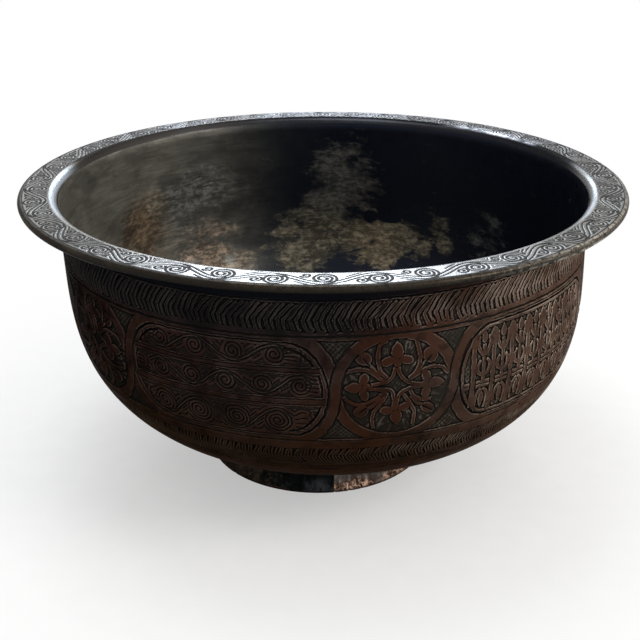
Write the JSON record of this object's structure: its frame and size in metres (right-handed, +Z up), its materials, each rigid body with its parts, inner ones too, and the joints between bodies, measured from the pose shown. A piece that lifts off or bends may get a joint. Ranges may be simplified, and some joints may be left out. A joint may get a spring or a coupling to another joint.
{
  "type": "footed metal bowl",
  "caption": "Deep round copper bowl with a flat flange, a wired rolled edge, chased bands round its wall and a low flared foot ring soldered underneath.",
  "frame": {"origin": "on the surface that the foot stands on, under the middle of the rim", "axes": "+Z up, out of the bowl's mouth; -Y is the side that the picture shows from the front, +X its right"},
  "size_m": [0.38, 0.38, 0.19],
  "materials": {
    "patinated_copper": "hammered copper, dark brown patina outside with worn edges, tinned inside and on the flange",
    "foot_copper": "copper strip with worn tin and dark patina",
    "iron_wire": "drawn iron, dull",
    "soft_solder": "dull grey tin-lead solder"
  },
  "bodies": {
    "root": {"bowl_body": "patinated_copper", "rim_wire": "iron_wire", "foot_ring": "foot_copper", "foot_solder": "soft_solder"}
  },
  "joints": []
}
